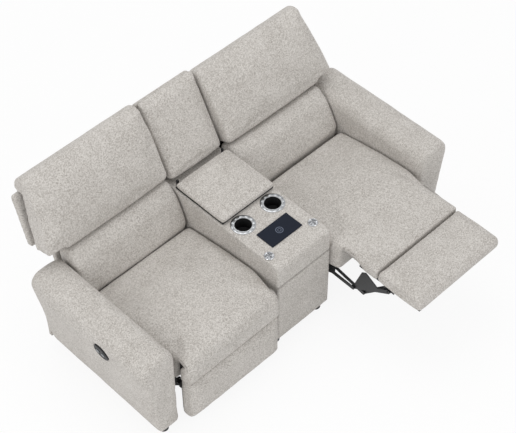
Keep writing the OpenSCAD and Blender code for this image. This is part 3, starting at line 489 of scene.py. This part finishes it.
class LOVESEAT_OT_materials(bpy.types.Operator):
    """Makes every finish and dresses the CAD nodes that stay in view"""
    bl_idname = "loveseat.materials"
    bl_label = "Materials"

    def execute(self, context):
        chenille()
        # Mild steel, powder coated: satin black with a slight orange peel
        simple_surface("mild_steel_powder_coat", "#1B1C1E", 0.0, 0.42, 0.0016, 0.0002)
        # Zinc die casting, plated: soft grey metal for buttons and the drive nut
        simple_surface("zinc_die_cast_plated", "#8F9296", 1.0, 0.34, 0.0012, 0.0001)
        # Stainless steel, spun and polished: fine turning lines that blur the reflections
        simple_surface("stainless_steel_spun", "#B4B6B8", 1.0, 0.20, 0.0010, 0.0001,
                       spread=0.05, stretch=(1, 1, 6))
        # Zinc cap, chrome plated: mirror bright
        simple_surface("zinc_cap_chrome_plated", "#C6C8CB", 1.0, 0.07, 0.0030, 0.00003, spread=0.03)
        # ABS, moulded with a fine spark texture: black and dull
        simple_surface("abs_moulded_black", "#151618", 0.0, 0.50, 0.0012, 0.0002, spread=0.15)
        # Soft-touch coated ABS: slate grey, almost no gloss
        slate = simple_surface("abs_soft_touch_slate", "#161C29", 0.0, 0.55, 0.0014, 0.0001,
                               spread=0.06)
        slate.inputs["Specular IOR Level"].default_value = 0.15
        # Printed pale ring on the charging pad
        simple_surface("ink_printed_grey", "#5F687A", 0.0, 0.5, 0.0020, 0.00005)
        # Rubber liner of a cup holder: deep black
        simple_surface("rubber_moulded_black", "#0B0B0C", 0.0, 0.7, 0.0020, 0.0002)
        plywood()
        finish_of = {"black_steel": "mild_steel_powder_coat", "zinc_metal": "zinc_die_cast_plated",
                     "stainless_cup": "stainless_steel_spun", "chrome_cap": "zinc_cap_chrome_plated",
                     "slate_pad": "abs_soft_touch_slate", "black_plastic": "abs_moulded_black",
                     "plywood": "birch_plywood_sanded", FABRIC: CLOTH}
        for part in frame["record"]["subparts"]:
            node = NODES[part["node"]]
            # The rear rail is wrapped in the same cloth as the arms it joins
            wrapped = part["node"] == "rear_rail"
            name = finish_of[FABRIC if wrapped else part["material_slot"]]
            node.data.materials.clear()
            node.data.materials.append(bpy.data.materials[name])
        return {"FINISHED"}


# Soft pieces

def held_under(direction, amount=0.45):
    """Points whose surface faces the direction stay put."""
    d = np.array(direction, float)

    def held(co, no):
        return ramp(no @ d, amount, amount + 0.35)
    return held


def underside(no, start=0.3):
    """Share of each point that faces down."""
    return ramp(-no[:, 2], start, start + 0.4)


def open_face(ob, pick):
    """Opens a piece in edit mode with only that face selected which pick finds."""
    choose(ob)
    bpy.ops.object.mode_set(mode="EDIT")
    bpy.ops.mesh.select_mode(type="FACE")
    bpy.ops.mesh.select_all(action="DESELECT")
    bpy.ops.object.mode_set(mode="OBJECT")
    pick(ob.data.polygons).select = True
    bpy.ops.object.mode_set(mode="EDIT")


def extrude_face(ob, pick, move, scale=None, about=None):
    """Pulls the face that pick finds, and may scale it about a point."""
    open_face(ob, pick)
    bpy.ops.mesh.extrude_region_move(TRANSFORM_OT_translate={"value": move})
    if scale:
        bpy.ops.transform.resize(value=scale, center_override=about)
    bpy.ops.object.mode_set(mode="OBJECT")


def block(name, low, high):
    """A box between two corners, to be shaped further."""
    bpy.ops.object.select_all(action="DESELECT")
    bpy.ops.mesh.primitive_cube_add(size=1)
    ob = bpy.context.object
    ob.name = name
    low, high = Vector(low), Vector(high)
    ob.data.transform(Matrix.Translation((low + high) / 2) @ Matrix.Diagonal((*(high - low), 1)))
    return ob


def flap_cover(side):
    """Upper footrest cushion laid out flat, with a tongue of its cover that reaches over the seat."""
    hinge = hinge_of(side)
    low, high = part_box(f"{side}_flap_cushion")
    top = hinge.z + SKIN
    ob = block(f"{side}_flap_cover", (low.x, hinge.y - FLAP_LENGTH, top - FLAP_DEPTH),
               (high.x, hinge.y - FLAP_ROOT, top))

    def rear(faces):
        return max(faces, key=lambda f: f.center.y)
    thin, about = (1, 1, TONGUE_SHARE), (hinge.x, hinge.y, top)
    extrude_face(ob, rear, (0, FLAP_ROOT - TONGUE_ROOT, 0), thin, about)
    extrude_face(ob, rear, (0, FOLD + TONGUE_REACH, 0))
    regrid(ob, 0.75 * bpy.context.scene.loveseat_sizes.coarse)
    return ob


def fold(co, hinge):
    """Lays a flat cover round a closed seat's front edge: straight, a quarter turn, straight."""
    half = FOLD - SKIN
    along, height = hinge.y - co[:, 1], co[:, 2] - hinge.z - SKIN
    turn = np.clip((along + half) / (2 * half), 0, 1) * math.pi / 2
    y = half - FOLD * np.sin(turn) + np.maximum(-along - half, 0)
    z = SKIN - FOLD + FOLD * np.cos(turn) - np.maximum(along - half, 0)
    co[:, 1] = hinge.y + y - height * np.sin(turn)
    co[:, 2] = hinge.z + z + height * np.cos(turn)


def settle_flap(ob, side, seat):
    """Lays the tongue on the seat, its end just under the seat's surface, and folds a closed one."""
    hinge = hinge_of(side)
    co = points(ob)
    tree = BVHTree.FromObject(seat, bpy.context.evaluated_depsgraph_get())
    # Nearer to the hinge line a ray would meet the seat's rounded edge instead of its top
    near = FOLD - SKIN + 2 * MM
    # How far the tongue lies over the seat's surface, and how much it sinks towards its end
    over, sink = 0.8 * MM, 2.2 * MM
    for i, p in enumerate(co):
        back = p[1] - hinge.y
        if back < LAP[0]:
            continue
        above = Vector((p[0], max(p[1], hinge.y + near), hinge.z + 200 * MM))
        hit = tree.ray_cast(above, Vector((0, 0, -1)))[0]
        if hit is None:
            continue
        lift = over - sink * float(ramp(back, FOLD - 6 * MM, FOLD + 44 * MM))
        co[i, 2] += float(ramp(back, *LAP)) * (hit.z + lift - hinge.z - SKIN)
    if not is_out(side):
        fold(co, hinge)
    set_points(ob, co)


def round_front(seat, side):
    """Takes a closed seat's front edge back, so that the folded cover lies over it."""
    hinge = hinge_of(side)
    co = points(seat)
    # How far the seat keeps under the cover, and the turn in radians over which it gets there
    under, eased = 3 * MM, 0.7
    y, z = co[:, 1] - hinge.y - FOLD + SKIN, co[:, 2] - hinge.z - SKIN + FOLD
    far = np.maximum(np.hypot(y, z), 1e-6)
    turn = np.arctan2(-y, z)
    limit = FOLD - under + (far - FOLD + under) * (1 - ramp(turn, 0, eased))
    corner = (y < 0) & (z > 0)
    pull = np.where(corner, np.minimum(1, limit / far), 1)
    co[:, 1] += y * (pull - 1)
    co[:, 2] += z * (pull - 1)
    face = (z <= 0) & (co[:, 1] < hinge.y - SKIN + under)
    co[face, 1] = hinge.y - SKIN + under
    set_points(seat, co)


def taper_front(seat, side):
    """Draws the seat's sides in towards the width of its flap."""
    co = points(seat)
    low, high = co[:, 0].min(), co[:, 0].max()
    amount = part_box(f"{side}_flap_cushion")[0].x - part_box(f"{side}_seat_cushion")[0].x
    band = 130 * MM
    front = 1 - ramp(co[:, 1] - hinge_of(side).y, 30 * MM, 190 * MM)
    co[:, 0] += amount * front * (1 - ramp(co[:, 0] - low, 0, band))
    co[:, 0] -= amount * front * (1 - ramp(high - co[:, 0], 0, band))
    set_points(seat, co)


class LOVESEAT_OT_seats(bpy.types.Operator):
    """Seat cushions, and the footrest cushions that continue them"""
    bl_idname = "loveseat.seats"
    bl_label = "Seats and footrests"

    def execute(self, context):
        sizes = context.scene.loveseat_sizes
        batches = [(self.seat(side, sizes), self.flap(side, sizes), self.pad(side, sizes))
                   for side in SIDES]
        puff([entry for batch in batches for entry in batch])
        for i, (side, batch) in enumerate(zip(SIDES, batches)):
            seat, flap, pad = (entry[0] for entry in batch)
            # A flap continues its seat, so the two share one relief
            for ob, seed in ((seat, 3 * i), (flap, 3 * i), (pad, 3 * i + 1)):
                ease(ob)
                crumple(ob, *RELIEF["seat"], seed)
            self.shape(side, seat, flap, pad)
            self.hand_over(side, seat, flap, pad)
        return {"FINISHED"}

    def seat(self, side, sizes):
        """Seat cover, held underneath and at the rear, where the back comes close."""
        ob = cad_copy(f"{side}_seat_cushion", f"{side}_seat_cover")
        regrid(ob, sizes.coarse)
        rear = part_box(f"{side}_seat_cushion")[1].y

        def held(co, no):
            return np.maximum(underside(no, 0.4), ramp(co[:, 1], rear - 190 * MM, rear - 70 * MM))
        return ob, TRAVEL["seat"], leeway(above=sizes.seat_swell), held

    def flap(self, side, sizes):
        """Cover of the upper footrest cushion, whose tongue keeps its place."""
        hinge = hinge_of(side)

        def held(co, no):
            return np.maximum(underside(no), ramp(co[:, 1], hinge.y - 30 * MM, hinge.y))
        room = leeway(sides=4 * MM, front=2 * MM, rear=0, above=0.6 * sizes.pad_swell)
        return flap_cover(side), TRAVEL["flap"], room, held

    def pad(self, side, sizes):
        """Cover of the lower footrest cushion, which swells away from its board."""
        ob = cad_copy(f"{side}_footrest_cushion", f"{side}_footrest_cover")
        regrid(ob, 0.8 * sizes.coarse)
        if is_out(side):
            board = (0, 0, -1)
            room = leeway(sides=5 * MM, front=8 * MM, above=sizes.pad_swell)
        else:
            board = (0, 1, 0)
            room = leeway(sides=5 * MM, front=sizes.pad_swell, below=6 * MM)
        return ob, TRAVEL["pad"], room, held_under(board)

    def shape(self, side, seat, flap, pad):
        """Rounds the sides of the filled covers and joins the flap's cover to the seat."""
        low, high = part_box(f"{side}_seat_cushion")
        sides = [(0, low.x, -1), (0, high.x, 1)]
        shoulder(seat, sides, EDGE, DROP)
        shoulder(flap, sides, EDGE, DROP, 1 - ramp(points(flap)[:, 1] - hinge_of(side).y, *LAP))
        if is_out(side):
            shoulder(pad, sides, EDGE, DROP)
        taper_front(seat, side)
        if not is_out(side):
            round_front(seat, side)
        settle_flap(flap, side, seat)

    def hand_over(self, side, seat, flap, pad):
        """Dresses the three covers and bakes the flap's cover where it lies, on no body."""
        finish(seat, f"{side}_seat", CLOTH, FABRIC, f"{side}_seat_cushion", fill=0.75)
        finish(pad, f"{side}_footrest", CLOTH, FABRIC, f"{side}_footrest_cushion", fill=0.7)
        finish(flap, None, CLOTH, FABRIC, f"{side}_flap_cushion", fill=0.7)
        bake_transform(flap)


held_rear = held_under((0, 0.98, -0.2), 0.35)


def held_foot(co, no):
    """Holds a lumbar cushion's rear, and its foot, which keeps clear of the seat."""
    seat_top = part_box("left_seat_cushion")[1].z
    foot = 1 - ramp(co[:, 2], seat_top + 20 * MM, seat_top + 80 * MM)
    return np.maximum(held_rear(co, no), foot)


def tuck(ob, amount):
    """Draws a shell's top down behind the cushion in front of it."""
    co = points(ob)
    low, high = co[:, 2].min(), co[:, 2].max()
    co[:, 2] -= amount * (co[:, 2] - low) / (high - low)
    set_points(ob, co)


def narrow(ob, side, amount):
    """Draws a head cushion's outer edge in towards its top."""
    co = points(ob)
    low, high = co[:, 2].min(), co[:, 2].max()
    out = ramp(SIGN[side] * co[:, 0], 500 * MM, 900 * MM)
    co[:, 0] -= SIGN[side] * amount * out * ramp(co[:, 2], low, high)
    set_points(ob, co)


def lower_foot(ob):
    """Fills the lumbar cushion's foot, so that no light shows between it and the seat."""
    co = points(ob)
    low, front = co[:, 2].min(), co[:, 1].min()
    forward, down = 2 * MM, 13 * MM
    share = 1 - ramp(co[:, 2], low + 2 * MM, low + 26 * MM)
    share = share * (1 - ramp(co[:, 1], front + 25 * MM, front + 70 * MM))
    co[:, 1] -= forward * share
    co[:, 2] -= down * share
    set_points(ob, co)


class LOVESEAT_OT_backs(bpy.types.Operator):
    """Head and lumbar cushions, the middle back and the rear panels"""
    bl_idname = "loveseat.backs"
    bl_label = "Backs"

    def execute(self, context):
        sizes = context.scene.loveseat_sizes
        swell = sizes.back_swell
        batch, made = [], []
        for side in SIDES:
            for part, fill, held in (("lumbar", 0.7, held_foot), ("head", 0.8, held_rear)):
                node = f"{side}_{part}_cushion"
                ob = cad_copy(node, f"{side}_{part}_cover")
                regrid(ob, sizes.coarse)
                batch.append((ob, swell, leeway(sides=3 * MM, front=swell, above=6 * MM), held))
                made.append((ob, f"{side}_back", node, fill))
        ob = cad_copy("middle_back_cushion", "middle_back_cover")
        regrid(ob, sizes.coarse)
        room = leeway(sides=3 * MM, front=12 * MM, below=3 * MM, above=5 * MM)
        batch.append((ob, swell, room, held_rear))
        made.append((ob, "base", "middle_back_cushion", 0.75))
        puff(batch)
        for k, (ob, body, node, fill) in enumerate(made):
            ease(ob)
            crumple(ob, *RELIEF["back"], 10 + k)
            if "head" in node:
                narrow(ob, node.split("_")[0], 34 * MM)
            elif "lumbar" in node:
                lower_foot(ob)
            finish(ob, body, CLOTH, FABRIC, node, fill=fill)
        self.shells()
        return {"FINISHED"}

    def shells(self):
        """Upholstered rear panels."""
        for k, (place, body) in enumerate((("left", "left_back"), ("right", "right_back"),
                                           ("middle", "base"))):
            ob = cad_copy(f"{place}_back_panel", f"{place}_back_shell")
            regrid(ob, 9 * MM, smooth=3)
            if place == "middle":
                tuck(ob, 22 * MM)
            crumple(ob, *RELIEF["shell"], 20 + k)
            ob.data.shade_smooth()
            finish(ob, body, CLOTH, FABRIC, f"{place}_back_panel")


class LOVESEAT_OT_arms(bpy.types.Operator):
    """Arms with rounded pillow tops"""
    bl_idname = "loveseat.arms"
    bl_label = "Arms"

    def execute(self, context):
        sizes = context.scene.loveseat_sizes
        swell = sizes.arm_swell
        batch = []
        for side in SIDES:
            ob = cad_copy(f"{side}_arm_cover", f"{side}_arm_cloth")
            regrid(ob, sizes.coarse)
            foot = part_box(f"{side}_arm_cover")[0].z
            sides = (swell, CLEAR) if side == "left" else (CLEAR, swell)
            room = leeway(sides=sides, front=6 * MM, rear=2 * MM, below=0, above=swell)

            def held(co, no, foot=foot):
                return np.maximum(underside(no), 1 - ramp(co[:, 2], foot, foot + 60 * MM))
            batch.append((ob, TRAVEL["arm"], room, held))
        puff(batch)
        for k, (side, entry) in enumerate(zip(SIDES, batch)):
            ob = entry[0]
            ease(ob)
            crumple(ob, *RELIEF["arm"], 30 + k)
            finish(ob, "base", CLOTH, FABRIC, f"{side}_arm_cover", fill=0.8)
        return {"FINISHED"}


class LOVESEAT_OT_console(bpy.types.Operator):
    """Upholstered console body and its padded lid"""
    bl_idname = "loveseat.console"
    bl_label = "Console"

    def execute(self, context):
        self.body()
        self.lid(context.scene.loveseat_sizes)
        return {"FINISHED"}

    def body(self):
        """Console body, with the seam that runs across its front only."""
        ob = cad_copy("console_cover", "console_cloth")
        regrid(ob, 7 * MM, smooth=3)
        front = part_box("console_cover")[0].y
        # Keeps the seam off the sides and the rear
        far = 10

        def front_seam(co):
            behind = 1 - ramp(front + 12 * MM - co[:, 1], 0, 4 * MM)
            return np.abs(co[:, 2] - CONSOLE_SEAM) + far * behind
        # Presses the seam and paints shade along its channel
        painted_darkness(ob, front_seam)
        crumple(ob, *RELIEF["console"], 40)
        ob.data.shade_smooth()
        finish(ob, "base", CLOTH, FABRIC, "console_cover")

    def lid(self, sizes):
        """Padded lid, which swells upwards."""
        ob = cad_copy("lid_cushion", "console_lid_cover")
        regrid(ob, 0.7 * sizes.coarse)
        room = leeway(front=3 * MM, rear=0, below=0, above=9 * MM)
        puff([(ob, TRAVEL["lid"], room, held_under((0, 0, -1)))])
        ease(ob)
        crumple(ob, *RELIEF["lid"], 41)
        finish(ob, "console_lid", CLOTH, FABRIC, "lid_cushion", fill=0.8)


# Hard pieces

def polar(co, at):
    """Radius and angle of each point about a vertical axis."""
    rel = co[:, :2] - np.array(at[:2])
    return np.linalg.norm(rel, axis=1), np.arctan2(rel[:, 1], rel[:, 0])


class LOVESEAT_OT_fittings(bpy.types.Operator):
    """Cup holders, charging pad and accessory caps"""
    bl_idname = "loveseat.fittings"
    bl_label = "Console fittings"

    def execute(self, context):
        self.cups()
        self.pad()
        self.caps()
        return {"FINISHED"}

    def cups(self):
        """Spun cup holders with a rippled rim, which carries a painted dark reflection, each with a dark well."""
        low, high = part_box("cup_holders")
        base, rim = low.z, high.z
        bore, wall, outer = 40 * MM, 2 * MM, 59 * MM
        lip, throat, crest = rim - 3 * MM, rim - 5 * MM, outer - 7 * MM
        ripples, ripple_height = 12, 0.9 * MM
        # Painted reflection: the rippled rim is drawn darker all round, as if mirroring something dark,
        # more in its troughs and at the rear, whose angle in radians is the last value
        all_round, in_troughs, at_rear, rear = 0.28, 0.34, 0.2, 1.2
        for side in SIDES:
            at = (SIGN[side] * (high.x - outer), (low.y + high.y) / 2, 0)
            cup = spun(f"{side}_cup_holder", [
                (outer, lip), (outer, rim - 1.6 * MM), (outer - 2 * MM, rim),
                (crest, rim + 0.6 * MM), (outer - 13 * MM, rim - 0.4 * MM),
                (bore + 2 * MM, rim - 0.2 * MM), (bore, rim - 2 * MM), (bore, throat)], at, steps=72)
            co = points(cup)
            radius, turn = polar(co, at)
            wave = np.cos(ripples * turn)
            band = np.exp(-((radius - crest) / (5 * MM)) ** 2)
            co[:, 2] += band * wave * ripple_height
            set_points(cup, co)
            # Paints the dark reflection into the rim's colour
            darken(cup, band * (all_round + in_troughs * np.clip(-wave, 0, 1)
                                + at_rear * np.cos(turn - rear)))
            finish(cup, "base", "stainless_steel_spun", "stainless_cup", "cup_holders")
            well = spun(f"{side}_cup_well", [
                (bore, throat), (bore, base + wall + 6 * MM), (bore - 6 * MM, base + wall),
                (0, base + wall), (0, base), (bore + wall, base), (bore + wall, lip),
                (outer, lip)], at, steps=72)
            finish(well, "base", "rubber_moulded_black", "black_plastic", "cup_holders")

    def pad(self):
        """Charging pad: a rim round a sunken face with two printed rings."""
        low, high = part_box("charging_pad_frame")
        centre = (low + high) / 2
        thick, rim, sunk, printed = 4 * MM, 10 * MM, 1.6 * MM, 0.35 * MM
        ob = block("charging_pad_rim", (low.x, low.y, high.z - thick), high)
        open_face(ob, lambda faces: max(faces, key=lambda f: f.center.z))
        bpy.ops.mesh.inset(thickness=rim)
        bpy.ops.transform.translate(value=(0, 0, -sunk))
        bpy.ops.object.mode_set(mode="OBJECT")
        apply(ob, "BEVEL", width=1.2 * MM, segments=3, limit_method="ANGLE")
        crisp(ob)
        finish(ob, "base", "abs_soft_touch_slate", "slate_pad", "charging_pad_frame", "charging_pad")
        top = high.z - sunk
        for name, radius, half in (("charging_ring", 17 * MM, 1.6 * MM),
                                   ("charging_core", 8 * MM, 1.2 * MM)):
            inside, outside = radius - half, radius + half
            ring = spun(name, [(inside, top), (inside, top + printed), (outside, top + printed),
                               (outside, top)], (centre.x, centre.y, 0), steps=48)
            finish(ring, "base", "ink_printed_grey", "slate_pad")

    def caps(self):
        """Domed caps with eight facets, whose painted dark reflections are heavier on some facets."""
        low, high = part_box("accessory_caps")
        r, facets, groove = 24 * MM, 8, 2.2 * MM
        top = high.z - 7 * MM
        # Painted reflection: how dark a bright facet is drawn, how much darker a dark one is, and what a facet's
        # edges lose
        bright, darker, edge_loss = 0.12, 0.62, 0.3
        for side in SIDES:
            at = (SIGN[side] * (high.x - r), (low.y + high.y) / 2, 0)
            cap = spun(f"{side}_accessory_cap", [
                (r, top), (r, top + 2.5 * MM), (r - 2 * MM, top + 4.5 * MM), (r - 5 * MM, top + 3.6 * MM),
                (r - 7 * MM, top + 3.6 * MM), (r * 0.5, top + 5.4 * MM), (3 * MM, top + 6.6 * MM),
                (0, top + 6.6 * MM)], at, steps=48)
            co = points(cap)
            radius, angle = polar(co, at)
            turn = angle / (2 * math.pi) * facets
            ridge = np.abs(turn % 1 - 0.5) * 2
            inner = (radius < r - 4 * MM) & (radius > 1 * MM)
            co[:, 2] -= inner * ridge * groove
            set_points(cap, co)
            step = np.floor(turn % 1 + turn)
            uneven = np.sin(step * 2.4) > -0.1
            # Paints the dark reflections into the facets' colour
            darken(cap, inner * (bright + darker * uneven) * (1 - edge_loss * ridge))
            crisp(cap, 12)
            finish(cap, "base", "zinc_cap_chrome_plated", "chrome_cap", "accessory_caps")


# Studio

class LOVESEAT_OT_stage(bpy.types.Operator):
    """Floor, soft lamps and the camera"""
    bl_idname = "loveseat.stage"
    bl_label = "Stage"

    def execute(self, context):
        scene = context.scene
        # Share of the floor that is plain white to the eye, and the air's strength on the object
        own_light, air_light, floor_size = 0.9, 0.72, 40
        bpy.ops.object.select_all(action="DESELECT")
        bpy.ops.mesh.primitive_plane_add(size=floor_size)
        floor = context.object
        floor.name = "studio_floor"
        floor.data.transform(Matrix.Translation((0, 0, -1 * MM)))
        # Paper sweep, matt: an even pale ground that keeps a faint shadow
        tree, shader, _ = blank("floor_paper_matt")
        shader.inputs["Base Color"].default_value = (*scene.loveseat_colours.floor, 1)
        shader.inputs["Roughness"].default_value = 0.9
        part = add(tree, "Math", {"operation": "MULTIPLY", 0: self.seen(tree), 1: own_light})
        glow = add(tree, "Emission", {"Color": (1, 1, 1, 1), "Strength": 1.0})
        both = add(tree, "MixShader", {0: part.outputs["Value"], 1: shader.outputs["BSDF"],
                                       2: glow.outputs["Emission"]})
        tree.links.new(both.outputs["Shader"], tree.nodes["Material Output"].inputs["Surface"])
        floor.data.materials.append(bpy.data.materials["floor_paper_matt"])
        world = bpy.data.worlds.new("studio_air")
        world.use_nodes = True
        air = world.node_tree
        air.nodes["Background"].inputs["Color"].default_value = (1.0, 1.0, 1.0, 1)
        glow = add(air, "Math", {"operation": "MULTIPLY_ADD", 0: self.seen(air),
                                 1: 1 - air_light, 2: air_light})
        air.links.new(glow.outputs["Value"], air.nodes["Background"].inputs["Strength"])
        scene.world = world
        # Lamps: place and width in metres, power in watts
        aim = Vector((0, 0, 0.4))
        for name, place, size, power in (("key_softbox", (-5.0, -0.8, 3.0), 2.4, 54),
                                         ("fill_softbox", (0.5, -5.0, 3.2), 3.0, 34),
                                         ("top_softbox", (0.3, 1.2, 5.2), 3.6, 58)):
            lamp = bpy.data.lights.new(name, "AREA")
            lamp.energy = power
            lamp.shape = "DISK"
            lamp.size = size
            ob = bpy.data.objects.new(name, lamp)
            scene.collection.objects.link(ob)
            ob.location = place
            ob.rotation_euler = (aim - Vector(place)).to_track_quat("-Z", "Y").to_euler()
        self.camera(scene)
        scene.view_settings.view_transform = "Standard"
        return {"FINISHED"}

    def seen(self, tree):
        """1 where the eye meets the surface at once, in a mirror or through glass."""
        path = add(tree, "LightPath").outputs
        either = add(tree, "Math", {"operation": "MAXIMUM", 0: path["Is Camera Ray"],
                                    1: path["Is Glossy Ray"]})
        return add(tree, "Math", {"operation": "MAXIMUM", 0: either.outputs["Value"],
                                  1: path["Is Transmission Ray"]}).outputs["Value"]

    def camera(self, scene):
        """The photograph's own viewpoint: high, from the front left."""
        azimuth, elevation, roll = (math.radians(a) for a in CAMERA_ANGLES)
        forward = Vector((math.sin(azimuth) * math.cos(elevation),
                          math.cos(azimuth) * math.cos(elevation), -math.sin(elevation)))
        right = forward.cross(Vector((0, 0, 1))).normalized()
        up = right.cross(forward)
        turned = right * math.cos(roll) + up * math.sin(roll)
        top = up * math.cos(roll) - right * math.sin(roll)
        lens = bpy.data.cameras.new("photo_camera")
        lens.sensor_fit = "HORIZONTAL"
        lens.sensor_width = 36
        lens.lens = CAMERA_LENS
        lens.clip_end = 60
        ob = bpy.data.objects.new("photo_camera", lens)
        scene.collection.objects.link(ob)
        matrix = Matrix((turned, top, -forward)).transposed().to_4x4()
        matrix.translation = CAMERA_PLACE
        ob.matrix_world = matrix
        scene.camera = ob


class LOVESEAT_PT_panel(bpy.types.Panel):
    bl_label = "Loveseat"
    bl_idname = "LOVESEAT_PT_panel"
    bl_space_type = "VIEW_3D"
    bl_region_type = "UI"
    bl_category = "Loveseat"

    def draw(self, context):
        for group in (context.scene.loveseat_sizes, context.scene.loveseat_colours):
            for key in group.__annotations__:
                self.layout.prop(group, key)
        for operator in OPERATORS:
            self.layout.operator(operator.bl_idname)


OPERATORS = (LOVESEAT_OT_materials, LOVESEAT_OT_seats, LOVESEAT_OT_backs, LOVESEAT_OT_arms,
             LOVESEAT_OT_console, LOVESEAT_OT_fittings, LOVESEAT_OT_stage)
CLASSES = (LoveseatSizes, LoveseatColours, *OPERATORS, LOVESEAT_PT_panel)


def register():
    for cls in CLASSES:
        bpy.utils.register_class(cls)
    bpy.types.Scene.loveseat_sizes = bpy.props.PointerProperty(type=LoveseatSizes)
    bpy.types.Scene.loveseat_colours = bpy.props.PointerProperty(type=LoveseatColours)


def unregister():
    del bpy.types.Scene.loveseat_colours
    del bpy.types.Scene.loveseat_sizes
    for cls in reversed(CLASSES):
        bpy.utils.unregister_class(cls)


def main():
    register()
    bpy.ops.object.select_all(action="DESELECT")
    for operator in OPERATORS:
        group, name = operator.bl_idname.split(".")
        getattr(getattr(bpy.ops, group), name)()


if __name__ == "__main__":
    main()
